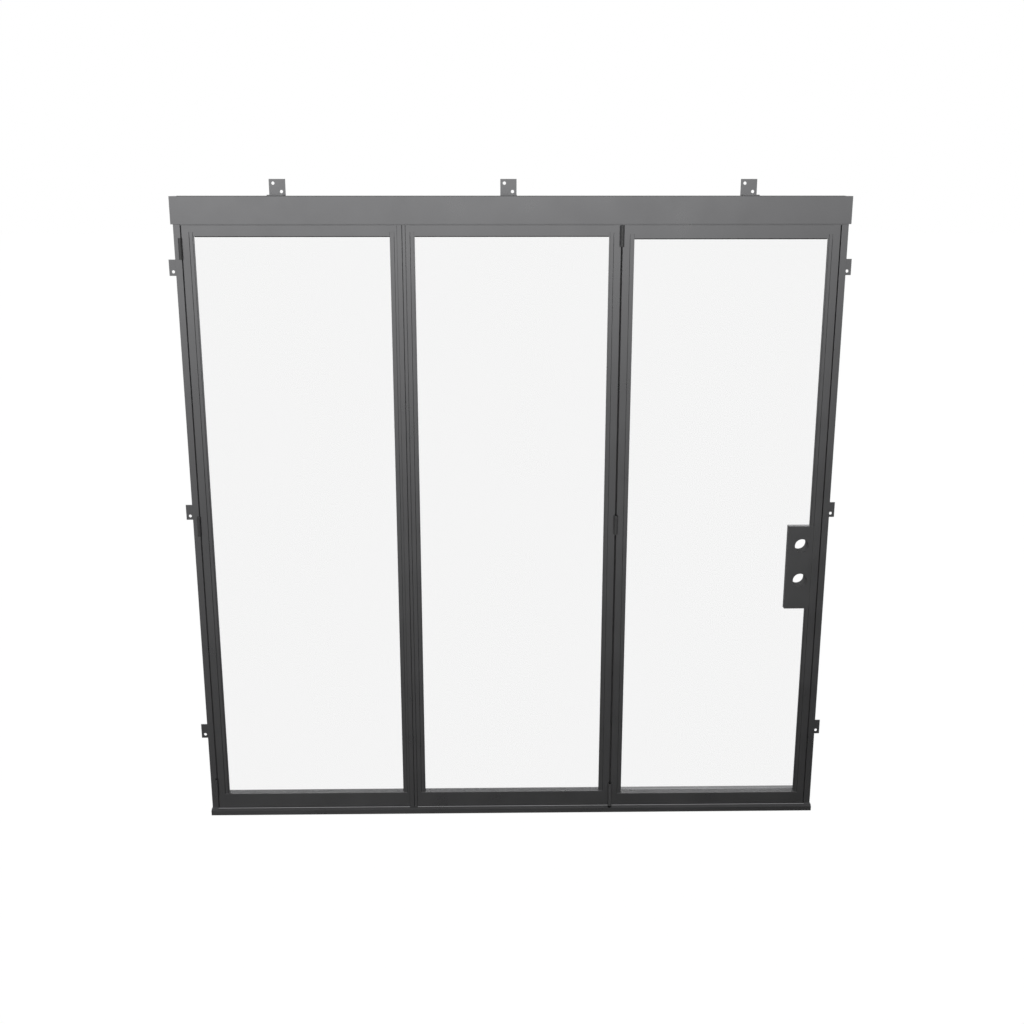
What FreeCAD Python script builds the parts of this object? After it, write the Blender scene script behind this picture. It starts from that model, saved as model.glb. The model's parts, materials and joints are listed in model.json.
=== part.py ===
import FreeCAD, Part
import os

os.makedirs("parts", exist_ok=True)

V = FreeCAD.Vector

# Outer frame, millimetres. X runs along the door, Y towards the back, Z up.
FRAME_W = 2438.4
FRAME_H = 2438.4
FRAME_D = 146.0
JAMB_FACE = 25.0
EDGE_R = 1.5
CORNER_R = 0.6

# Header
HEADER_H = 98.4
HEADER_PROUD = 3.0
HEADER_OVERHANG = 8.0
HEADER_WALL = 4.0

# Sill
SILL_H = 25.4
SILL_PROUD = 14.0
SILL_OVERHANG = 3.0
SILL_BEVEL_H = 6.8
SILL_BEVEL_D = 10.0

# Running gaps
SIDE_GAP = 3.0
TOP_GAP = 3.0
FLOOR_GAP = 2.6
FOLD_GAP = 3.0
SWING_GAP = 5.0

# Leaves: equal thirds of the clear width
LEAF_T = 57.0
STILE_FACE = 27.5
BACK_LIP = 4.0

# Front stop round the glass: recessed bars with a thin lip, down both stiles
STOP_STEP = 11.5
STOP_LIP = 4.5
STOP_RECESS = 2.0
LIP_RECESS = 5.0
LIP_BACK = 12.0

# Glass: a sealed unit in pockets of the rails
GLASS_FRONT = 24.0
GLASS_T = 16.0
GLASS_BITE = 12.0
GLASS_CLEAR = 2.0

# Rails: visible heights on the folding leaves and on the lock leaf
TOP_RAIL = 40.0
LOCK_TOP_RAIL = 49.0
BOTTOM_RAIL = 60.4
LOCK_BOTTOM_RAIL = 48.8
BOTTOM_POCKET = 10.0
LEDGE_FALL = 3.0

# Track in the header and guide groove in the sill
TRACK_W = 44.0
TRACK_H = 46.0
TRACK_SLOT = 16.0
GROOVE_W = 16.0
GROOVE_DEPTH = 14.0

# Hinges: barrel insets from the leaf's foot and head, and the middle one above mid height
BARREL_R = 8.0
JAMB_BARREL_R = 6.25
JAMB_BARREL_SHIFT = 4.0
BARREL_H = 76.0
PIVOT_BARREL_H = 97.0
HINGE_WEB_D = 20.0
HINGE_FOOT = 90.0
HINGE_HEAD = 83.0
HINGE_MID_RISE = 33.0
HINGE_END_CLEAR = 0.5

# Roller in the track and guide in the groove, both beside the swing joint
RUNNER_OFFSET = 60.0
RUNNER_PLATE_L = 60.0
RUNNER_PLATE_W = 36.0
RUNNER_PLATE_T = 2.0
RUNNER_PIN_R = 5.0
TRUCK_L = 70.0
TRUCK_W = 12.0
TRUCK_H = 16.0
WHEEL_R = 12.0
WHEEL_PITCH = 40.0
WHEEL_CLEAR = 4.0
SHOE_L = 34.0
SHOE_H = 8.0
SHOE_CLEAR = 1.0

# Cover strips on the fold
STRIP_WIDE = 18.5
STRIP_NARROW = 12.0
STRIP_T = 6.0
STRIP_GAP = 0.6
STRIP_FOOT = 1.0

# Lock box: as thick as the leaf, with standard bores at handle height above the floor
LOCK_W = 125.0
BACKSET = 69.85
BORE_R = 27.0
BORE_Z = 985.7
BORE_SPACING = 139.7
LOCK_ABOVE = 79.1
LOCK_BELOW = 116.0

# Wall brackets: plates in the back plane, placed from the ends of the member that carries them
PLATE = 60.0
PLATE_T = 4.0
HOLE_R = 6.0
HOLE_EDGE = 15.0
HEAD_BRACKET_LEFT = 356.2
HEAD_BRACKET_MID = 12.0
HEAD_BRACKET_RIGHT = 341.2
JAMB_BRACKET_TOP = 230.4
JAMB_BRACKET_MID = 43.8
JAMB_BRACKET_BOTTOM = 330.0

# Values that follow from the ones above
HEADER_Z = FRAME_H - HEADER_H
LEAF_TOP = HEADER_Z - TOP_GAP
LEAF_BOTTOM = SILL_H + FLOOR_GAP
TRACK_Y = LEAF_T / 2
X_LEFT = -FRAME_W / 2
X_RIGHT = FRAME_W / 2
CLEAR_W = FRAME_W - 2 * JAMB_FACE - 2 * SIDE_GAP - FOLD_GAP - SWING_GAP
LEAF_W = CLEAR_W / 3
LEAF_X = [X_LEFT + JAMB_FACE + SIDE_GAP]
LEAF_X.append(LEAF_X[0] + LEAF_W + FOLD_GAP)
LEAF_X.append(LEAF_X[1] + LEAF_W + SWING_GAP)
JAMB_GAP_X = LEAF_X[0] - SIDE_GAP / 2
FOLD_X = LEAF_X[1] - FOLD_GAP / 2
SWING_X = LEAF_X[2] - SWING_GAP / 2
LOCK_EDGE = LEAF_X[2] + LEAF_W
GLASS_BACK = GLASS_FRONT + GLASS_T
RAIL_BACK_TOP = LEAF_BOTTOM + LOCK_BOTTOM_RAIL
STOP_W = STOP_STEP + STOP_LIP

HEAD_BRACKET_X = {
    "left": X_LEFT + HEAD_BRACKET_LEFT,
    "middle": -HEAD_BRACKET_MID,
    "right": X_RIGHT - HEAD_BRACKET_RIGHT,
}
JAMB_BRACKET_Z = {
    "top": FRAME_H - JAMB_BRACKET_TOP,
    "middle": FRAME_H / 2 + JAMB_BRACKET_MID,
    "bottom": JAMB_BRACKET_BOTTOM,
}
HINGE_Z = {
    "bottom": LEAF_BOTTOM + HINGE_FOOT,
    "middle": (LEAF_BOTTOM + LEAF_TOP) / 2 + HINGE_MID_RISE,
    "top": LEAF_TOP - HINGE_HEAD,
}

# The row frame has its origin on the front face of the middle head bracket
ORIGIN = V(HEAD_BRACKET_X["middle"], FRAME_D - PLATE_T, FRAME_H + PLATE / 2)


def box(x0, x1, y0, y1, z0, z1):
    return Part.makeBox(x1 - x0, y1 - y0, z1 - z0, V(x0, y0, z0))


def cylinder_z(r, x, y, z0, z1):
    return Part.makeCylinder(r, z1 - z0, V(x, y, z0), V(0, 0, 1))


def cylinder_y(r, x, z, y0, y1):
    return Part.makeCylinder(r, y1 - y0, V(x, y0, z), V(0, 1, 0))


def face_of(points):
    closed = points + [points[0]]
    return Part.Face(Part.makePolygon(closed))


def extrude_x(outline, x0, x1):
    points = [V(x0, y, z) for y, z in outline]
    return face_of(points).extrude(V(x1 - x0, 0, 0))


# Rounds the long straight edges of a bar that lie at the given places
def soften(shape, axis, spots, radius=EDGE_R):
    chosen = []
    for edge in shape.Edges:
        ends = [v.Point for v in edge.Vertexes]
        if len(ends) != 2 or not isinstance(edge.Curve, Part.Line):
            continue
        a, b = ends
        along = {"x": V(1, 0, 0), "z": V(0, 0, 1)}[axis]
        if (b - a).cross(along).Length > 0.001:
            continue
        place = (a.y, a.z) if axis == "x" else (a.x, a.y)
        if any(abs(place[0] - p) < 0.01 and abs(place[1] - q) < 0.01 for p, q in spots):
            chosen.append(edge)
    return shape.makeFillet(radius, chosen)


# What a rounding takes off an upright front edge at x, between two heights
def edge_waste(x, inward, z0, z1):
    centre = x - inward * EDGE_R
    x0, x1 = sorted((x, centre))
    return box(x0, x1, 0, EDGE_R, z0, z1).cut(cylinder_z(EDGE_R, centre, EDGE_R, z0, z1))


def save(node, shape):
    placed = shape.copy()
    placed.translate(ORIGIN * -1)
    placed.exportStep("parts/" + node + ".step")


# Header: a folded box with a roller track and its slot along the underside
def header():
    x0 = X_LEFT - HEADER_OVERHANG
    x1 = X_RIGHT + HEADER_OVERHANG
    front = -HEADER_PROUD
    outer = box(x0, x1, front, FRAME_D, HEADER_Z, FRAME_H)
    corners = [(front, HEADER_Z), (front, FRAME_H), (FRAME_D, FRAME_H)]
    outer = soften(outer, "x", corners, CORNER_R)
    t0 = X_LEFT + JAMB_FACE
    t1 = X_RIGHT - JAMB_FACE
    track_z = HEADER_Z + HEADER_WALL
    half_w = TRACK_W / 2
    half_s = TRACK_SLOT / 2
    track = box(t0, t1, TRACK_Y - half_w, TRACK_Y + half_w, track_z, track_z + TRACK_H)
    slot = box(t0, t1, TRACK_Y - half_s, TRACK_Y + half_s, HEADER_Z, track_z)
    return outer.cut(track).cut(slot)


# Jamb: a plain upright between sill and header, rounded beside the leaf
def jamb(x0, leaf_side, outer_side):
    body = box(x0, x0 + JAMB_FACE, 0, FRAME_D, SILL_H, HEADER_Z)
    body = soften(body, "z", [(leaf_side, 0)])
    return soften(body, "z", [(outer_side, 0), (x0, FRAME_D), (x0 + JAMB_FACE, FRAME_D)], CORNER_R)


# Sill: bevelled front edge, flat top and a groove for the guide
def sill():
    front = -SILL_PROUD
    g0 = TRACK_Y - GROOVE_W / 2
    g1 = TRACK_Y + GROOVE_W / 2
    outline = [
        (front, 0),
        (FRAME_D, 0),
        (FRAME_D, SILL_H),
        (front + SILL_BEVEL_D, SILL_H),
        (front, SILL_H - SILL_BEVEL_H),
    ]
    body = extrude_x(outline, X_LEFT - SILL_OVERHANG, X_RIGHT + SILL_OVERHANG)
    groove = box(X_LEFT + JAMB_FACE, X_RIGHT - JAMB_FACE, g0, g1, SILL_H - GROOVE_DEPTH, SILL_H)
    return body.cut(groove)


# Bracket plate with two bolt holes on one diagonal, standing off a line at x
def plate(x0, z0, mirrored):
    body = box(x0, x0 + PLATE, FRAME_D - PLATE_T, FRAME_D, z0, z0 + PLATE)
    low = HOLE_EDGE
    high = PLATE - HOLE_EDGE
    spots = [(low, high), (high, low)]
    if mirrored:
        spots = [(low, low), (high, high)]
    for dx, dz in spots:
        body = body.cut(cylinder_y(HOLE_R, x0 + dx, z0 + dz, FRAME_D - PLATE_T, FRAME_D))
    return body


def head_bracket(x):
    x0 = x - PLATE / 2
    leg = box(x0, x0 + PLATE, FRAME_D - PLATE, FRAME_D, FRAME_H, FRAME_H + PLATE_T)
    return plate(x0, FRAME_H, False).fuse(leg).removeSplitter()


def jamb_bracket(side, z_top):
    z0 = z_top - PLATE
    if side < 0:
        x0 = X_LEFT - PLATE
        leg = box(X_LEFT - PLATE_T, X_LEFT, FRAME_D - PLATE, FRAME_D, z0, z_top)
        return plate(x0, z0, True).fuse(leg).removeSplitter()
    leg = box(X_RIGHT, X_RIGHT + PLATE_T, FRAME_D - PLATE, FRAME_D, z0, z_top)
    return plate(X_RIGHT, z0, False).fuse(leg).removeSplitter()


# Stile: full-depth box, rounded along the opening, with a narrow lip behind the glass
def stile(x_edge, inward, foot, under):
    def span(a, b, y0, y1, z0, z1):
        xa = x_edge + inward * a
        xb = x_edge + inward * b
        return box(min(xa, xb), max(xa, xb), y0, y1, z0, z1)

    body = span(0, STILE_FACE, 0, LEAF_T, LEAF_BOTTOM, LEAF_TOP)
    inner = x_edge + inward * STILE_FACE
    body = soften(body, "z", [(x_edge, 0), (x_edge, LEAF_T)])
    body = body.cut(edge_waste(inner, inward, foot, under))
    lip = span(STILE_FACE, STILE_FACE + BACK_LIP, GLASS_BACK, LEAF_T, RAIL_BACK_TOP, under)
    return body.fuse(lip).removeSplitter()


# Top rail: runs between the stiles, with a pocket for the glass in its underside
def top_rail(x0, x1, under):
    pocket = under + GLASS_BITE
    outline = [
        (0, LEAF_TOP),
        (LEAF_T, LEAF_TOP),
        (LEAF_T, under),
        (GLASS_BACK, under),
        (GLASS_BACK, pocket),
        (GLASS_FRONT, pocket),
        (GLASS_FRONT, under),
        (0, under),
    ]
    return soften(extrude_x(outline, x0, x1), "x", [(0, LEAF_TOP)], CORNER_R)


# Bottom rail: the same with its pocket on top, and a front wall whose ledge falls forward
def bottom_rail(x0, x1, front_top):
    pocket = RAIL_BACK_TOP - BOTTOM_POCKET
    outline = [
        (0, LEAF_BOTTOM),
        (LEAF_T, LEAF_BOTTOM),
        (LEAF_T, RAIL_BACK_TOP),
        (GLASS_BACK, RAIL_BACK_TOP),
        (GLASS_BACK, pocket),
        (GLASS_FRONT, pocket),
        (GLASS_FRONT, front_top + LEDGE_FALL),
        (0, front_top),
    ]
    return soften(extrude_x(outline, x0, x1), "x", [(0, LEAF_BOTTOM), (0, front_top)], CORNER_R)


# Glass: one sealed unit standing in the pockets of its leaf
def glass(x0, x1, under):
    z0 = RAIL_BACK_TOP - BOTTOM_POCKET
    z1 = under + GLASS_BITE - GLASS_CLEAR
    return box(x0, x1, GLASS_FRONT, GLASS_BACK, z0, z1)


# Front stop: stepped bars down both stiles, and a bar flush with the top rail between them
def front_stop(x0, x1, foot, under):
    a0, a1 = x0 + STOP_STEP, x1 - STOP_STEP
    b0, b1 = x0 + STOP_W, x1 - STOP_W
    bars = box(b0, b1, 0, GLASS_FRONT, under - STOP_W, under)
    bars = soften(bars, "x", [(0, under - STOP_W)])
    for s0, s1, lip0, lip1 in ((x0, a0, a0, b0), (a1, x1, b1, a1)):
        bars = bars.fuse(box(s0, s1, STOP_RECESS, GLASS_FRONT, foot, under))
        bars = bars.fuse(box(lip0, lip1, LIP_RECESS, LIP_BACK, foot, under))
    return bars.removeSplitter()


# Lock box beside the lock stile: a block before the glass and a smaller core through it
def lock_blank(inset, y0, y1):
    x0 = LOCK_EDGE - LOCK_W + inset
    x1 = LOCK_EDGE - STILE_FACE
    z0 = BORE_Z - LOCK_BELOW + inset
    z1 = BORE_Z + BORE_SPACING + LOCK_ABOVE - inset
    return box(x0, x1, y0, y1, z0, z1)


def lock_shape():
    front = soften(lock_blank(0, 0, GLASS_FRONT), "z", [(LOCK_EDGE - LOCK_W, 0)])
    core = lock_blank(GLASS_BITE, GLASS_FRONT, LEAF_T)
    return front.fuse(core)


def lock_box():
    body = lock_shape()
    for z in (BORE_Z, BORE_Z + BORE_SPACING):
        body = body.cut(cylinder_y(BORE_R, LOCK_EDGE - BACKSET, z, 0, LEAF_T))
    return body


# Hinge: barrel over the gap, aside of its middle if need be, and a web welded between the edges
def hinge(x, z, height, gap, on_front, radius=BARREL_R, aside=0):
    z0 = z - height / 2
    z1 = z + height / 2
    outward = -1 if on_front else 1
    face_y = 0 if on_front else LEAF_T
    y = face_y + outward * radius
    y_in = face_y - outward * HINGE_WEB_D
    web = box(x - gap / 2, x + gap / 2, min(y, y_in), max(y, y_in), z0, z1)
    return cylinder_z(radius, x + aside, y, z0, z1).fuse(web)


# Cover strip: flat bar on a leaf's front, from the top of the leaf down to the sill
def cover_strip(x0, x1):
    bar = box(x0, x1, -STRIP_T, 0, SILL_H + STRIP_FOOT, LEAF_TOP)
    return soften(bar, "z", [(x0, -STRIP_T), (x1, -STRIP_T)])


# Roller: plate on top of the leaf, pin through the slot, truck on two pairs of wheels
def top_roller(x):
    half_l = RUNNER_PLATE_L / 2
    half_w = RUNNER_PLATE_W / 2
    wheel_z = HEADER_Z + HEADER_WALL + WHEEL_R
    truck_z = wheel_z - TRUCK_H / 2
    plate_z = LEAF_TOP + RUNNER_PLATE_T
    y = TRACK_Y
    body = box(x - half_l, x + half_l, y - half_w, y + half_w, LEAF_TOP, plate_z)
    body = body.fuse(cylinder_z(RUNNER_PIN_R, x, y, LEAF_TOP, wheel_z))
    x0 = x - TRUCK_L / 2
    y0 = y - TRUCK_W / 2
    body = body.fuse(box(x0, x0 + TRUCK_L, y0, y0 + TRUCK_W, truck_z, truck_z + TRUCK_H))
    reach = TRACK_W / 2 - WHEEL_CLEAR
    for side in (-1, 1):
        wheel_x = x + side * WHEEL_PITCH / 2
        body = body.fuse(cylinder_y(WHEEL_R, wheel_x, wheel_z, y - reach, y + reach))
    return body


# Guide: plate under the leaf, pin and a shoe that slides in the sill groove
def bottom_guide(x):
    half_l = RUNNER_PLATE_L / 2
    half_w = RUNNER_PLATE_W / 2
    y = TRACK_Y
    shoe_z = SILL_H - GROOVE_DEPTH + SHOE_CLEAR
    half_s = GROOVE_W / 2 - SHOE_CLEAR
    plate_z = LEAF_BOTTOM - RUNNER_PLATE_T
    body = box(x - half_l, x + half_l, y - half_w, y + half_w, plate_z, LEAF_BOTTOM)
    body = body.fuse(cylinder_z(RUNNER_PIN_R, x, y, shoe_z, LEAF_BOTTOM))
    shoe = box(x - SHOE_L / 2, x + SHOE_L / 2, y - half_s, y + half_s, shoe_z, shoe_z + SHOE_H)
    return body.fuse(shoe)


# Leaf: two stiles, two rails, front stop and glass
def save_leaf(index):
    name = "leaf_" + str(index + 1)
    locks = index == 2
    left = LEAF_X[index]
    right = left + LEAF_W
    x0 = left + STILE_FACE
    x1 = right - STILE_FACE
    under = LEAF_TOP - (LOCK_TOP_RAIL if locks else TOP_RAIL) + STOP_W
    foot = LEAF_BOTTOM + (LOCK_BOTTOM_RAIL if locks else BOTTOM_RAIL)
    pieces = {
        "left_stile": stile(left, 1, foot, under),
        "right_stile": stile(right, -1, foot, under),
        "top_rail": top_rail(x0, x1, under),
        "bottom_rail": bottom_rail(x0, x1, foot),
        "glass": glass(x0, x1, under),
        "front_stop": front_stop(x0, x1, foot, under),
    }
    pieces["front_stop"] = pieces["front_stop"].cut(pieces["bottom_rail"])
    if locks:
        pieces["front_stop"] = pieces["front_stop"].cut(lock_blank(0, 0, GLASS_FRONT))
        for piece in ("right_stile", "glass"):
            pieces[piece] = pieces[piece].cut(lock_blank(GLASS_BITE, GLASS_FRONT, LEAF_T))
    for piece, shape in pieces.items():
        save(name + "_" + piece, shape)


save("header", header())
save("sill", sill())
save("left_jamb", jamb(X_LEFT, X_LEFT + JAMB_FACE, X_LEFT))
save("right_jamb", jamb(X_RIGHT - JAMB_FACE, X_RIGHT - JAMB_FACE, X_RIGHT))
save("lock_box", lock_box())

for place, x in HEAD_BRACKET_X.items():
    save("head_bracket_" + place, head_bracket(x))
for place, z in JAMB_BRACKET_Z.items():
    save("left_jamb_bracket_" + place, jamb_bracket(-1, z))
    save("right_jamb_bracket_" + place, jamb_bracket(1, z))

for index in range(3):
    save_leaf(index)

for place, z in HINGE_Z.items():
    barrel = hinge(JAMB_GAP_X, z, BARREL_H, SIDE_GAP, True, JAMB_BARREL_R, -JAMB_BARREL_SHIFT)
    save("jamb_hinge_" + place, barrel)
    save("fold_hinge_" + place, hinge(FOLD_X, z, BARREL_H, FOLD_GAP, False))

pivot_z = LEAF_BOTTOM + PIVOT_BARREL_H / 2
carrier_z = LEAF_TOP - HINGE_END_CLEAR - BARREL_H / 2
save("swing_hinge_bottom", hinge(SWING_X, pivot_z, PIVOT_BARREL_H, SWING_GAP, True))
save("swing_hinge_middle", hinge(SWING_X, HINGE_Z["middle"], BARREL_H, SWING_GAP, True))
save("swing_hinge_top", hinge(SWING_X, carrier_z, BARREL_H, SWING_GAP, True))

seam = STRIP_GAP / 2
save("fold_cover_strip_left", cover_strip(FOLD_X - seam - STRIP_WIDE, FOLD_X - seam))
save("fold_cover_strip_right", cover_strip(FOLD_X + seam, FOLD_X + seam + STRIP_NARROW))
save("top_roller", top_roller(SWING_X - RUNNER_OFFSET))
save("bottom_guide", bottom_guide(SWING_X - RUNNER_OFFSET))
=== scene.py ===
import bmesh
import bpy
import json
import math
from mathutils import Matrix, Vector


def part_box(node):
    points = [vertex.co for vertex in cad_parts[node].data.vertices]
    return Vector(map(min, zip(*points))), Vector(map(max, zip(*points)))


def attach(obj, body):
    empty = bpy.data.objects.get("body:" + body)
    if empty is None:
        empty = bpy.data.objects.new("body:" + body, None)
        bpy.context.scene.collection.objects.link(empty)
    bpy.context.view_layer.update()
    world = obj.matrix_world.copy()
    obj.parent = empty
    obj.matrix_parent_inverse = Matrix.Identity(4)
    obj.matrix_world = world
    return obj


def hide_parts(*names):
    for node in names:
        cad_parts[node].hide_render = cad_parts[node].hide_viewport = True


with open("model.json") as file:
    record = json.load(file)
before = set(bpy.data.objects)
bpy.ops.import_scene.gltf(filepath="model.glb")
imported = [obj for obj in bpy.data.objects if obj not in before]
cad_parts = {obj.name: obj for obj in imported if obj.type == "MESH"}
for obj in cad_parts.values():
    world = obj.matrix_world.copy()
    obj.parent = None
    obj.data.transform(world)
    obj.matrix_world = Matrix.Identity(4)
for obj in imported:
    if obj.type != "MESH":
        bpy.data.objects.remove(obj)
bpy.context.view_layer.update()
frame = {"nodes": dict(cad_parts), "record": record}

MM = 0.001
CRISP_ANGLE = math.radians(20)

# Ground of the picture: how far it reaches, and the little light that it throws back
FLOOR_REACH = 60.0
FLOOR_TINT = (0.01, 0.01, 0.01, 1)
FLOOR_ROUGHNESS = 0.9
WHITE = (1, 1, 1, 1)

# Camera of the photograph: its place from the foot of the door's front, and where it looks
IMAGE_SIDE = 1024
FOCAL_PIXELS = 1236.0
CAMERA_X = -0.0787
CAMERA_BEFORE = 4.5723
CAMERA_UP = 2.4817
CAMERA_YAW = math.radians(0.97)
CAMERA_PITCH = math.radians(14.88)
SENSOR_WIDTH = 36.0
FARTHEST_SEEN = 200

# Sealed units: panes and the spacer bar between their edges, which is higher at the foot
PANE_T = 4 * MM
SPACER_W = 9 * MM
SPACER_FOOT = 12.1 * MM
SPACER_INSET = 0.2 * MM

# Front stops, the lock box's lap over the glass, and the rubber lip under a stop's top bar
STOP_W = 16 * MM
LOCK_LAP = 12 * MM
GASKET_DROP = 2.5 * MM
GASKET_T = 6 * MM
GASKET_CURL = 0.3

# Dark beads in the corners where the recessed front stops meet the stiles: painted shade for the
# shadow in those seams
STOP_RECESS = 2 * MM
SEAM_W = 0.55 * MM
SEAM_STEPS = 4

# Seals in the head gap and in the upright gaps, behind the front plane
HEAD_SEAL_Y = 0.3 * MM
HEAD_SEAL_T = 4 * MM
SEAL_CLEAR = 0.3 * MM
PILE_Y = 4 * MM
SWING_PILE_Y = 8 * MM
PILE_T = 6 * MM
PILE_STEPS = 12

# Black strip along the header's top: painted shade at its front edge
SHADE_STRIP_T = 1.3 * MM
SHADE_STRIP_EDGE = 0.4 * MM
SHADE_STRIP_SETBACK = 1 * MM
SHADE_STRIP_W = 20 * MM
SHADE_STRIP_END = 28 * MM

# Bead on the sill in front of the leaves' feet
BEAD_DEPTH = 5 * MM
BEAD_HEIGHT = 3.4 * MM
BEAD_STEPS = 10
BEAD_CLEAR = 0.4 * MM

# Lock bores: their places from the stile's outer edge and the floor, and their primed skin
BORE_R = 27 * MM
BORE_Z = 985.7 * MM
BORE_SPACING = 139.7 * MM
BACKSET = 69.85 * MM
LOCK_STILE = 27.5 * MM
SLEEVE_T = 0.3 * MM
SLEEVE_INSET = 0.2 * MM
BORE_SIDES = 64

# Hinge barrels
KNUCKLES = 3
KNUCKLE_GAP = 0.2 * MM
BARREL_EDGE = 0.25 * MM
EDGE_CURL = 0.3
PIN_SHARE = 0.6
BARREL_SIDES = 48
WEB_CLEAR = 0.1 * MM

# Where most of a noise texture's values lie, and how much bluer than red a grey is
NOISE_LOW, NOISE_HIGH = 0.3, 0.7
GREY_BLUE = 1.02

# Charcoal paint: tone, its drift over the part and its gloss, and the height of its orange peel
PAINT_TONE = 0.25
PAINT_DRIFT = 0.03
DRIFT_SCALE = 2.2
PAINT_GLOSS = (0.27, 0.33)
GLOSS_SCALE = 9.0
PEEL_SCALE = 250.0
PEEL_HEIGHT = 0.002 * MM
HINGE_TONE = 0.09
HINGE_SPECULAR = 0.86

# Bare metal: roughness, and the contrast and size of its grain, drawn out along x
BARE_GLOSS = (0.28, 0.4)
GRAIN_CONTRAST = 0.08
GRAIN_SCALE = 300.0
GRAIN_STRETCH = (1, 8, 8)

# Roughness of rubber, and of primer, foam and pile
RUBBER_GLOSS = (0.6, 0.75)
MATT_GLOSS = (0.75, 0.85)

# Glass: what it mirrors and lets through, and its smears
MIRROR_TINT = (0.9, 0.93, 0.92, 1)
CLEAR_TINT = (0.9769, 0.9769, 0.9769, 1)
GLASS_IOR = 1.12
SMEAR_SCALE = 6.0
SMEAR_GLOSS = (0.015, 0.03)


# Lowest and highest corner of a node's box
def corner(node):
    low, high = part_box(node)
    return Vector(low), Vector(high)


SILL_LOW, SILL_HIGH = corner("sill")
JAMB_LOW, JAMB_HIGH = corner("left_jamb")
FLOOR_Z = SILL_LOW.z
FRONT_Y = JAMB_LOW.y
CENTRE_X = (SILL_LOW.x + SILL_HIGH.x) / 2


# Nodes of one material, with the few calls that every material makes
class Shader:
    def __init__(self, name):
        self.material = bpy.data.materials.new(name)
        self.material.use_nodes = True
        self.tree = self.material.node_tree
        self.surface = self.tree.nodes["Principled BSDF"]
        self.output = self.tree.nodes["Material Output"]
        self.place = self.node("ShaderNodeTexCoord").outputs["Object"]

    def node(self, kind, **settings):
        made = self.tree.nodes.new(kind)
        for key, value in settings.items():
            setattr(made, key, value)
        return made

    def link(self, source, target):
        self.tree.links.new(source, target)

    def noise(self, scale, detail=3.0, stretch=(1, 1, 1)):
        mapping = self.node("ShaderNodeMapping")
        mapping.inputs["Scale"].default_value = stretch
        self.link(self.place, mapping.inputs["Vector"])
        noise = self.node("ShaderNodeTexNoise")
        noise.inputs["Scale"].default_value = scale
        noise.inputs["Detail"].default_value = detail
        self.link(mapping.outputs["Vector"], noise.inputs["Vector"])
        return noise.outputs["Fac"]

    def between(self, value, low, high):
        span = self.node("ShaderNodeMapRange")
        span.inputs["From Min"].default_value = NOISE_LOW
        span.inputs["From Max"].default_value = NOISE_HIGH
        span.inputs["To Min"].default_value = low
        span.inputs["To Max"].default_value = high
        self.link(value, span.inputs["Value"])
        return span.outputs["Result"]

    def colours(self, value, dark, light):
        mix = self.node("ShaderNodeMix", data_type="RGBA")
        mix.inputs["A"].default_value = (*dark, 1)
        mix.inputs["B"].default_value = (*light, 1)
        self.link(value, mix.inputs["Factor"])
        return mix.outputs["Result"]

    def bump(self, value, height):
        bump = self.node("ShaderNodeBump")
        bump.inputs["Distance"].default_value = height
        self.link(value, bump.inputs["Height"])
        return bump.outputs["Normal"]

    def paint(self, value, dark, light, gloss):
        self.link(self.colours(value, grey(dark), grey(light)), self.surface.inputs["Base Color"])
        self.link(self.between(value, *gloss), self.surface.inputs["Roughness"])


def grey(level):
    return (level, level, level * GREY_BLUE)


# Smooth charcoal finish, metallic unless told: fine orange peel, slow drift in tone and gloss
def painted_steel(name, tone=PAINT_TONE, metallic=1.0, specular=0.5):
    shader = Shader(name)
    inputs = shader.surface.inputs
    drift = shader.between(shader.noise(DRIFT_SCALE, 4.0), 0.0, 1.0)
    dark, light = grey(tone * (1 - PAINT_DRIFT)), grey(tone * (1 + PAINT_DRIFT))
    shader.link(shader.colours(drift, dark, light), inputs["Base Color"])
    inputs["Metallic"].default_value = metallic
    inputs["Specular IOR Level"].default_value = specular
    gloss = shader.noise(GLOSS_SCALE, 5.0)
    shader.link(shader.between(gloss, *PAINT_GLOSS), inputs["Roughness"])
    peel = shader.bump(shader.noise(PEEL_SCALE, 1.0), PEEL_HEIGHT)
    shader.link(peel, inputs["Normal"])
    return shader.material


# Unpainted metal with a fine grain along x, such as the roller and the guide
def bare_metal(name, tone):
    shader = Shader(name)
    grain = shader.noise(GRAIN_SCALE, 2.0, GRAIN_STRETCH)
    shader.paint(grain, tone * (1 - GRAIN_CONTRAST), tone * (1 + GRAIN_CONTRAST), BARE_GLOSS)
    shader.surface.inputs["Metallic"].default_value = 1.0
    return shader.material


# Matt grey with a slight mottle, such as rubber, primer, foam and the pile of the seals
def matt_grey(name, dark, light, mottling, gloss=MATT_GLOSS):
    shader = Shader(name)
    shader.paint(shader.noise(mottling), dark, light, gloss)
    return shader.material


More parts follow.
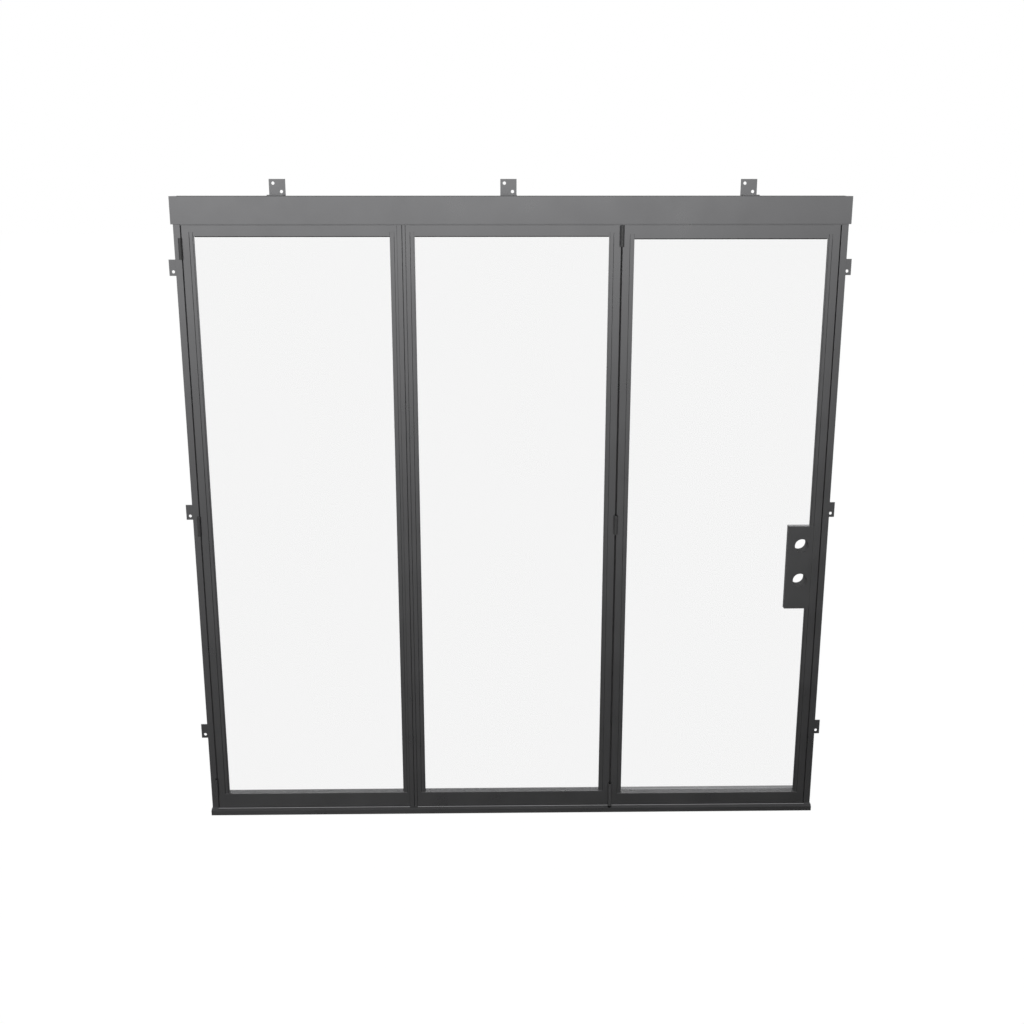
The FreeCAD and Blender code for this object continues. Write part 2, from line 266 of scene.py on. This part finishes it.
# Clear float glass: mirrors a little head on, more at a glance, and greys what is behind it.
# Only faces that light enters mirror it: as panes don't bend light here, the others would hold it
def clear_glass(name):
    shader = Shader(name)
    surface = shader.surface
    smear = shader.noise(SMEAR_SCALE, 4.0)
    surface.inputs["Base Color"].default_value = MIRROR_TINT
    surface.inputs["Metallic"].default_value = 1.0
    shader.link(shader.between(smear, *SMEAR_GLOSS), surface.inputs["Roughness"])
    clear = shader.node("ShaderNodeBsdfTransparent")
    clear.inputs["Color"].default_value = CLEAR_TINT
    fresnel = shader.node("ShaderNodeFresnel")
    fresnel.inputs["IOR"].default_value = GLASS_IOR
    entering = shader.node("ShaderNodeMath", operation="SUBTRACT")
    entering.inputs[0].default_value = 1.0
    shader.link(shader.node("ShaderNodeNewGeometry").outputs["Backfacing"], entering.inputs[1])
    mirrored = shader.node("ShaderNodeMath", operation="MULTIPLY")
    shader.link(fresnel.outputs["Fac"], mirrored.inputs[0])
    shader.link(entering.outputs["Value"], mirrored.inputs[1])
    mix = shader.node("ShaderNodeMixShader")
    shader.link(mirrored.outputs["Value"], mix.inputs["Fac"])
    shader.link(clear.outputs["BSDF"], mix.inputs[1])
    shader.link(surface.outputs["BSDF"], mix.inputs[2])
    shader.link(mix.outputs["Shader"], shader.output.inputs["Surface"])
    return shader.material


MATERIALS = {
    "frame_steel": painted_steel("frame_paint"),
    "sill_steel": painted_steel("sill_paint"),
    "leaf_steel": painted_steel("leaf_paint"),
    "stop_steel": painted_steel("stop_paint"),
    "lock_steel": painted_steel("lock_paint"),
    "bracket_steel": painted_steel("bracket_paint"),
    "hinge_steel": painted_steel("hinge_paint", HINGE_TONE, 0.0, HINGE_SPECULAR),
    "runner_steel": bare_metal("runner_bare_steel", 0.46),
    "spacer": matt_grey("spacer_foam", 0.6, 0.68, 120.0),
    "glass": clear_glass("clear_float_glass"),
    # Black rubber of the top gaskets; on the stop seams and the header strip it is painted shade
    "gasket": matt_grey("black_rubber_and_painted_shade", 0.012, 0.02, 250.0, RUBBER_GLOSS),
    "bore": matt_grey("bore_primer", 0.13, 0.155, 180.0),
    "pile": matt_grey("seal_pile", 0.08, 0.11, 400.0),
}


# Gives every solid of the frame the material of its slot
def repaint_frame():
    slots = {part["node"]: part["material_slot"] for part in frame["record"]["subparts"]}
    for name, node in frame["nodes"].items():
        for slot in node.material_slots:
            slot.link = "OBJECT"
            slot.material = MATERIALS[slots[name]]


# Adds a mesh to the part, in place of the named nodes if there are any
def finish_piece(name, mesh, material, slot, *nodes):
    piece = bpy.data.objects.new(name, mesh)
    bpy.context.scene.collection.objects.link(piece)
    mesh.materials.append(MATERIALS[material])
    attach(piece, "root")
    if nodes:
        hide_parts(*nodes)


def add_box(bm, low, high):
    size = Vector(high) - Vector(low)
    middle = (Vector(high) + Vector(low)) / 2
    shape = Matrix.Translation(middle) @ Matrix.Diagonal((*size, 1))
    bmesh.ops.create_cube(bm, size=1, matrix=shape)


# Mesh with its rounded faces smooth and every edge sharper than the limit left crisp
def mesh_from(bm, name):
    mesh = bpy.data.meshes.new(name)
    bmesh.ops.recalc_face_normals(bm, faces=bm.faces)
    bm.to_mesh(mesh)
    bm.free()
    mesh.shade_smooth()
    mesh.set_sharp_from_angle(angle=CRISP_ANGLE)
    return mesh


# Plate of glass with the outline of its unit, standing between y0 and y1
def add_pane(bm, outline, y0, y1):
    front = [bm.verts.new((x, y0, z)) for x, z in outline]
    back = [bm.verts.new((x, y1, z)) for x, z in outline]
    bm.faces.new(front)
    bm.faces.new(list(reversed(back)))
    for i, vert in enumerate(front):
        j = (i + 1) % len(front)
        bm.faces.new((vert, back[i], back[j], front[j]))


# Outline of a unit in x and z, with its notch round the lock's core on the third leaf
def unit_outline(leaf, inset, foot_inset):
    low, high = corner(f"leaf_{leaf}_glass")
    x0, x1 = low.x + inset, high.x - inset
    z0, z1 = low.z + foot_inset, high.z - inset
    outline = [(x0, z0), (x1, z0)]
    if leaf == 3:
        lock_low, lock_high = corner("lock_box")
        notch_x = lock_low.x + LOCK_LAP - inset
        foot = lock_low.z + LOCK_LAP - inset
        head = lock_high.z - LOCK_LAP + inset
        outline += [(x1, foot), (notch_x, foot), (notch_x, head), (x1, head)]
    outline += [(x1, z1), (x0, z1)]
    return outline


# Two panes and the spacer bar between them, whose foot stands a little over the rail's pocket
def sealed_unit(leaf):
    low, high = corner(f"leaf_{leaf}_glass")
    glass = bmesh.new()
    outline = unit_outline(leaf, 0, 0)
    add_pane(glass, outline, low.y, low.y + PANE_T)
    add_pane(glass, outline, high.y - PANE_T, high.y)
    mesh = mesh_from(glass, "unit")
    finish_piece(f"sealed_unit_{leaf}", mesh, "glass", "glass", f"leaf_{leaf}_glass")
    bar = bmesh.new()
    outer = unit_outline(leaf, SPACER_INSET, SPACER_INSET)
    inner = unit_outline(leaf, SPACER_W, SPACER_FOOT)
    y0, y1 = low.y + PANE_T, high.y - PANE_T
    rings = [
        [bar.verts.new((x, y, z)) for x, z in path] for path in (outer, inner) for y in (y0, y1)
    ]
    count = len(outer)
    for a, b in ((0, 1), (1, 3), (3, 2), (2, 0)):
        for i in range(count):
            j = (i + 1) % count
            bar.faces.new((rings[a][i], rings[b][i], rings[b][j], rings[a][j]))
    finish_piece(f"spacer_bar_{leaf}", mesh_from(bar, "spacer"), "spacer", "glass")


# Bar of one profile in y and z, from x0 to x1, with its curved faces smooth
def add_moulding(bm, profile, x0, x1):
    ends = [[bm.verts.new((x, y, z)) for y, z in profile] for x in (x0, x1)]
    bm.faces.new(ends[0])
    bm.faces.new(list(reversed(ends[1])))
    count = len(profile)
    for i in range(count):
        j = (i + 1) % count
        bm.faces.new((ends[0][j], ends[0][i], ends[1][i], ends[1][j]))


# Black lip of rubber under the top bar of a front stop, against the glass
def top_gasket(leaf):
    low, high = corner(f"leaf_{leaf}_front_stop")
    under = high.z - STOP_W
    y1 = corner(f"leaf_{leaf}_glass")[0].y
    y0 = y1 - GASKET_T
    curl = GASKET_DROP / 2
    profile = [
        (y0, under),
        (y0, under - curl),
        (y0 + curl * GASKET_CURL, under - curl * (2 - GASKET_CURL)),
        (y0 + curl, under - GASKET_DROP),
        (y1, under - GASKET_DROP),
        (y1, under),
    ]
    bm = bmesh.new()
    add_moulding(bm, profile, low.x + STOP_W, high.x - STOP_W)
    finish_piece(f"top_gasket_{leaf}", mesh_from(bm, "gasket"), "gasket", "glass")


# Steel strip that closes the gap over the leaves from behind the front plane
def head_seal():
    leaf_top = corner("leaf_1_top_rail")[1].z
    header_low = corner("header")[0].z
    x0, x1 = JAMB_HIGH.x, corner("right_jamb")[0].x
    y0 = FRONT_Y + HEAD_SEAL_Y
    y1 = y0 + HEAD_SEAL_T
    foot = leaf_top + SEAL_CLEAR
    profile = [(y0, header_low), (y0, foot), (y1, foot), (y1, header_low)]
    bm = bmesh.new()
    add_moulding(bm, profile, x0, x1)
    finish_piece("head_seal", mesh_from(bm, "head_seal"), "frame_steel", "frame_steel")


# Heights left free between the hinges of a joint, from the foot to the head of a leaf
def free_heights(joint):
    low, high = corner("leaf_1_left_stile")
    start = low.z
    spans = []
    for place in ("bottom", "middle", "top") if joint else ():
        hinge_low, hinge_high = corner(f"{joint}_hinge_{place}")
        if hinge_low.z - start > PILE_T:
            spans.append((start, hinge_low.z - SEAL_CLEAR))
        start = hinge_high.z + SEAL_CLEAR
    if high.z - start > PILE_T:
        spans.append((start, high.z))
    return spans


# Upright bar of one outline in x and y, between two heights
def add_upright(bm, outline, z0, z1):
    rings = [[bm.verts.new((x, y, z)) for x, y in outline] for z in (z0, z1)]
    bm.faces.new(rings[0])
    bm.faces.new(list(reversed(rings[1])))
    for i in range(len(outline)):
        j = (i + 1) % len(outline)
        bm.faces.new((rings[0][i], rings[0][j], rings[1][j], rings[1][i]))


# Hollowed bead of black rubber up both sides of a front stop, broken at the lock box: painted
# shade, a dark line that stands in for the shadow in the seam where the stop meets the stile
def stop_seam_shades(leaf):
    low, high = corner(f"leaf_{leaf}_front_stop")
    lock_low, lock_high = corner("lock_box")
    y, head = FRONT_Y + STOP_RECESS, high.z - STOP_W
    bm = bmesh.new()
    for x, inward in ((low.x, 1), (high.x, -1)):
        outline = [(x, y)]
        for k in range(SEAM_STEPS + 1):
            angle = math.pi / 2 * k / SEAM_STEPS
            across, out = SEAM_W * (1 - math.sin(angle)), SEAM_W * (1 - math.cos(angle))
            outline.append((x + inward * across, y - out))
        if leaf == 3 and inward < 0:
            add_upright(bm, outline, low.z, lock_low.z)
            add_upright(bm, outline, lock_high.z, head)
        else:
            add_upright(bm, outline, low.z, head)
    # The black rubber given to these beads paints the shadow in the seams
    finish_piece(f"stop_seams_{leaf}", mesh_from(bm, "stop_seam_shades"), "gasket", "stop_steel")


# Round pile seal on the edge of the member beside a gap, broken at the joint's hinges
def pile_seal(name, member, neighbour, joint, depth):
    x0 = corner(member)[1].x
    reach = corner(neighbour)[0].x - SEAL_CLEAR - x0
    y0 = FRONT_Y + depth
    outline = []
    for k in range(PILE_STEPS + 1):
        angle = math.pi * k / PILE_STEPS
        across, back = reach * math.sin(angle), PILE_T / 2 * (1 - math.cos(angle))
        outline.append((x0 + across, y0 + back))
    bm = bmesh.new()
    for z0, z1 in free_heights(joint):
        add_upright(bm, outline, z0, z1)
    finish_piece(name, mesh_from(bm, name), "pile", "leaf_steel")


# Black strip along the front edge of the header's top, short of its ends: painted shade, a dark
# line for the shade along that edge
def header_shade_strip():
    low, high = corner("header")
    top = high.z
    y0 = low.y + SHADE_STRIP_SETBACK
    y1 = y0 + SHADE_STRIP_W
    profile = [
        (y0, top),
        (y0, top + SHADE_STRIP_T - SHADE_STRIP_EDGE),
        (y0 + SHADE_STRIP_EDGE, top + SHADE_STRIP_T),
        (y1 - SHADE_STRIP_EDGE, top + SHADE_STRIP_T),
        (y1, top + SHADE_STRIP_T - SHADE_STRIP_EDGE),
        (y1, top),
    ]
    bm = bmesh.new()
    add_moulding(bm, profile, low.x + SHADE_STRIP_END, high.x - SHADE_STRIP_END)
    # Its black rubber paints the shade along the header's front top edge
    finish_piece("header_shade_strip", mesh_from(bm, "header_shade_strip"), "gasket", "frame_steel")


# Half-round bead on the sill before the leaves, stopping at the strips and at the pivot
def sill_bead():
    stops = [(corner("fold_cover_strip_left")[0].x, corner("fold_cover_strip_right")[1].x)]
    pivot_low, pivot_high = corner("swing_hinge_bottom")
    stops.append((pivot_low.x, pivot_high.x))
    start = JAMB_HIGH.x
    spans = []
    for low, high in stops:
        spans.append((start, low - BEAD_CLEAR))
        start = high + BEAD_CLEAR
    spans.append((start, corner("right_jamb")[0].x))
    profile = []
    half = BEAD_DEPTH / 2
    for k in range(BEAD_STEPS + 1):
        angle = math.pi * k / BEAD_STEPS
        y = FRONT_Y - half + half * math.cos(angle)
        profile.append((y, SILL_HIGH.z + BEAD_HEIGHT * math.sin(angle)))
    bm = bmesh.new()
    for x0, x1 in spans:
        add_moulding(bm, profile, x0, x1)
    finish_piece("sill_bead", mesh_from(bm, "sill_bead"), "sill_steel", "sill_steel")


# Members on both sides of each joint's gap
JOINTS = {
    "jamb": ("left_jamb", "leaf_1_left_stile"),
    "fold": ("leaf_1_right_stile", "leaf_2_left_stile"),
    "swing": ("leaf_2_right_stile", "leaf_3_left_stile"),
}


# Barrel hinge: knuckles with fine gaps between them, a pin through them and the web in the gap
def barrel_hinge(node):
    low, high = corner(node)
    on_front = low.y < FRONT_Y
    radius = (high.x - low.x) / 2
    x = (low.x + high.x) / 2
    y = low.y + radius if on_front else high.y - radius
    bm = bmesh.new()
    height = high.z - low.z
    length = (height - (KNUCKLES - 1) * KNUCKLE_GAP) / KNUCKLES
    curl = BARREL_EDGE * EDGE_CURL
    for k in range(KNUCKLES):
        z0 = low.z + k * (length + KNUCKLE_GAP)
        z1 = z0 + length
        profile = [
            (0, z0),
            (radius - BARREL_EDGE, z0),
            (radius - curl, z0 + curl),
            (radius, z0 + BARREL_EDGE),
            (radius, z1 - BARREL_EDGE),
            (radius - curl, z1 - curl),
            (radius - BARREL_EDGE, z1),
            (0, z1),
        ]
        add_turned(bm, x, y, profile)
    pin = radius * PIN_SHARE
    add_turned(bm, x, y, [(0, low.z), (pin, low.z), (pin, high.z), (0, high.z)])
    left, right = JOINTS[node.split("_")[0]]
    web_left, web_right = corner(left)[1].x + WEB_CLEAR, corner(right)[0].x - WEB_CLEAR
    web_near, web_far = (y, high.y) if on_front else (low.y, y)
    add_box(bm, (web_left, web_near, low.z), (web_right, web_far, high.z))
    barrel = node.replace("hinge", "barrel")
    finish_piece(barrel, mesh_from(bm, barrel), "hinge_steel", "hinge_steel", node)


# Solid of revolution about an upright line at x and y, from its profile of radius and height
def add_turned(bm, x, y, profile):
    rings = []
    for radius, z in profile:
        if radius == 0:
            rings.append([bm.verts.new((x, y, z))])
            continue
        ring = []
        for k in range(BARREL_SIDES):
            angle = 2 * math.pi * k / BARREL_SIDES
            across, back = radius * math.cos(angle), radius * math.sin(angle)
            ring.append(bm.verts.new((x + across, y + back, z)))
        rings.append(ring)
    for below, above in zip(rings, rings[1:]):
        for k in range(BARREL_SIDES):
            n = (k + 1) % BARREL_SIDES
            if len(below) == 1:
                bm.faces.new((below[0], above[k], above[n]))
            elif len(above) == 1:
                bm.faces.new((below[k], above[0], below[n]))
            else:
                bm.faces.new((below[k], above[k], above[n], below[n]))


# Thin primed sleeves that line the two bores of the lock box
def bore_sleeves():
    low, high = corner("lock_box")
    mid_z = BORE_Z + FLOOR_Z
    bm = bmesh.new()
    for z in (mid_z, mid_z + BORE_SPACING):
        rings = []
        for radius, y in (
            (BORE_R, low.y + SLEEVE_INSET),
            (BORE_R, high.y - SLEEVE_INSET),
            (BORE_R - SLEEVE_T, high.y - SLEEVE_INSET),
            (BORE_R - SLEEVE_T, low.y + SLEEVE_INSET),
        ):
            ring = []
            for k in range(BORE_SIDES):
                angle = 2 * math.pi * k / BORE_SIDES
                x = high.x + LOCK_STILE - BACKSET + radius * math.cos(angle)
                ring.append(bm.verts.new((x, y, z + radius * math.sin(angle))))
            rings.append(ring)
        for a, b in zip(rings, rings[1:] + rings[:1]):
            for k in range(BORE_SIDES):
                n = (k + 1) % BORE_SIDES
                bm.faces.new((a[k], a[n], b[n], b[k]))
    finish_piece("bore_sleeves", mesh_from(bm, "bore_sleeves"), "bore", "lock_steel")


# Plain white ground that shines on nothing, so that the studio alone lights the door
def floor():
    bm = bmesh.new()
    corners = ((-1, -1), (1, -1), (1, 1), (-1, 1))
    verts = [bm.verts.new((x * FLOOR_REACH, y * FLOOR_REACH, FLOOR_Z)) for x, y in corners]
    bm.faces.new(verts)
    mesh = mesh_from(bm, "floor")
    plane = bpy.data.objects.new("floor", mesh)
    bpy.context.scene.collection.objects.link(plane)
    shader = Shader("pale_floor")
    inputs = shader.surface.inputs
    inputs["Base Color"].default_value = FLOOR_TINT
    inputs["Roughness"].default_value = FLOOR_ROUGHNESS
    inputs["Specular IOR Level"].default_value = 0
    inputs["Emission Color"].default_value = WHITE
    inputs["Emission Strength"].default_value = 1.0
    mesh.materials.append(shader.material)
    plane.visible_diffuse = False
    plane.visible_glossy = False


# Brightness of the studio by height of the direction, from below to above
IN_FRONT = [
    (-1.0, 0.03), (-0.75, 0.03), (-0.55, 0.06), (-0.42, 0.11), (-0.3, 0.15), (-0.2, 0.21),
    (-0.1, 0.45), (0.0, 0.85), (0.12, 1.0), (0.3, 1.0), (0.5, 0.76), (0.65, 0.51), (0.8, 0.29),
    (1.0, 0.12),
]
BEHIND = [
    (-1.0, 0.05), (-0.42, 0.12), (-0.2, 0.18), (0.0, 0.26), (0.1, 0.4), (0.2, 0.8), (0.3, 1.0),
    (0.5, 0.8), (0.65, 0.51), (0.8, 0.29), (1.0, 0.12),
]

# Brightness by turn to the left or right, for low and for high directions
LOW_SIDE = [
    (-1.0, 0.3), (-0.7, 0.33), (-0.45, 0.68), (-0.3, 1.0), (-0.15, 0.95), (0.0, 0.83),
    (0.12, 0.76), (0.25, 0.51), (0.4, 0.28), (0.7, 0.28), (1.0, 0.3),
]
HIGH_SIDE = [
    (-1.0, 0.3), (-0.7, 0.33), (-0.45, 0.65), (-0.3, 0.95), (-0.15, 0.9), (0.0, 0.82),
    (0.12, 0.94), (0.25, 0.86), (0.4, 0.4), (0.7, 0.3), (1.0, 0.3),
]

# The least brightness by turn behind the door, which lights its back from both sides
BACK_SIDE = [(-1.0, 1.0), (-0.5, 1.0), (-0.35, 0.0), (0.35, 0.0), (0.5, 1.0), (1.0, 1.0)]

# Where directions begin to count as behind and as high, and where they wholly do
BEHIND_FROM, BEHIND_FULL = 0.1, 0.6
HIGH_FROM, HIGH_FULL = -0.1, 0.05
STUDIO_LIGHT = 1.53


# Studio: white to the eye, and a soft band of light round the horizon, strongest in front
def studio():
    scene = bpy.context.scene
    world = bpy.data.worlds.new("studio")
    scene.world = world
    world.use_nodes = True
    tree = world.node_tree
    tree.nodes.clear()
    output = tree.nodes.new("ShaderNodeOutputWorld")
    place = tree.nodes.new("ShaderNodeTexCoord")
    split = tree.nodes.new("ShaderNodeSeparateXYZ")
    tree.links.new(place.outputs["Generated"], split.inputs["Vector"])

    # Brightness that goes by the given steps while a coordinate goes from -1 to 1
    def graded(axis, steps):
        span = tree.nodes.new("ShaderNodeMapRange")
        span.inputs["From Min"].default_value = -1
        tree.links.new(split.outputs[axis], span.inputs["Value"])
        ramp = tree.nodes.new("ShaderNodeValToRGB")
        tree.links.new(span.outputs["Result"], ramp.inputs["Fac"])
        elements = ramp.color_ramp.elements
        while len(elements) < len(steps):
            elements.new(0.5)
        for element, (at, level) in zip(elements, steps):
            element.position = (at + 1) / 2
            element.color = (level, level, level, 1)
        return ramp.outputs["Color"]

    # Blends from one brightness to the other while a coordinate goes from start to end
    def blended(axis, start, end, first, second):
        turn = tree.nodes.new("ShaderNodeMapRange")
        turn.inputs["From Min"].default_value = start
        turn.inputs["From Max"].default_value = end
        tree.links.new(split.outputs[axis], turn.inputs["Value"])
        mix = tree.nodes.new("ShaderNodeMix")
        tree.links.new(turn.outputs["Result"], mix.inputs["Factor"])
        tree.links.new(first, mix.inputs["A"])
        tree.links.new(second, mix.inputs["B"])
        return mix.outputs["Result"]

    # One brightness from two, by a sum such as their product or the larger of them
    def combined(operation, first, second):
        made = tree.nodes.new("ShaderNodeMath")
        made.operation = operation
        tree.links.new(first, made.inputs[0])
        tree.links.new(second, made.inputs[1])
        return made.outputs["Value"]

    heights = blended("Y", BEHIND_FROM, BEHIND_FULL, graded("Z", IN_FRONT), graded("Z", BEHIND))
    front = blended("Z", HIGH_FROM, HIGH_FULL, graded("X", LOW_SIDE), graded("X", HIGH_SIDE))
    back = combined("MAXIMUM", front, graded("X", BACK_SIDE))
    sides = blended("Y", BEHIND_FROM, BEHIND_FULL, front, back)
    light = tree.nodes.new("ShaderNodeBackground")
    light.inputs["Strength"].default_value = STUDIO_LIGHT
    tree.links.new(combined("MULTIPLY", heights, sides), light.inputs["Color"])
    white = tree.nodes.new("ShaderNodeBackground")
    white.inputs["Color"].default_value = WHITE
    rays = tree.nodes.new("ShaderNodeLightPath")
    mix = tree.nodes.new("ShaderNodeMixShader")
    tree.links.new(rays.outputs["Is Camera Ray"], mix.inputs["Fac"])
    tree.links.new(light.outputs["Background"], mix.inputs[1])
    tree.links.new(white.outputs["Background"], mix.inputs[2])
    tree.links.new(mix.outputs["Shader"], output.inputs["Surface"])
    scene.view_settings.view_transform = "Standard"


# Camera at the photograph's place, with its angle of view
def camera():
    data = bpy.data.cameras.new("camera")
    data.sensor_width = SENSOR_WIDTH
    data.lens = FOCAL_PIXELS / IMAGE_SIDE * SENSOR_WIDTH
    data.clip_end = FARTHEST_SEEN
    eye = bpy.data.objects.new("camera", data)
    bpy.context.scene.collection.objects.link(eye)
    eye.location = (CENTRE_X + CAMERA_X, FRONT_Y - CAMERA_BEFORE, FLOOR_Z + CAMERA_UP)
    tilt = Matrix.Rotation(math.pi / 2 - CAMERA_PITCH, 4, "X")
    turn = Matrix.Rotation(-CAMERA_YAW, 4, "Z")
    eye.rotation_euler = (turn @ tilt).to_euler()
    bpy.context.scene.camera = eye


repaint_frame()
for leaf in (1, 2, 3):
    sealed_unit(leaf)
    top_gasket(leaf)
    stop_seam_shades(leaf)
head_seal()
header_shade_strip()
pile_seal("hinge_side_seal", "left_jamb", "leaf_1_left_stile", "jamb", PILE_Y)
pile_seal("swing_seal", "leaf_2_right_stile", "leaf_3_left_stile", "swing", SWING_PILE_Y)
pile_seal("lock_side_seal", "leaf_3_right_stile", "right_jamb", None, PILE_Y)
sill_bead()
bore_sleeves()
for node in frame["nodes"]:
    if "_hinge_" in node:
        barrel_hinge(node)
floor()
studio()
camera()
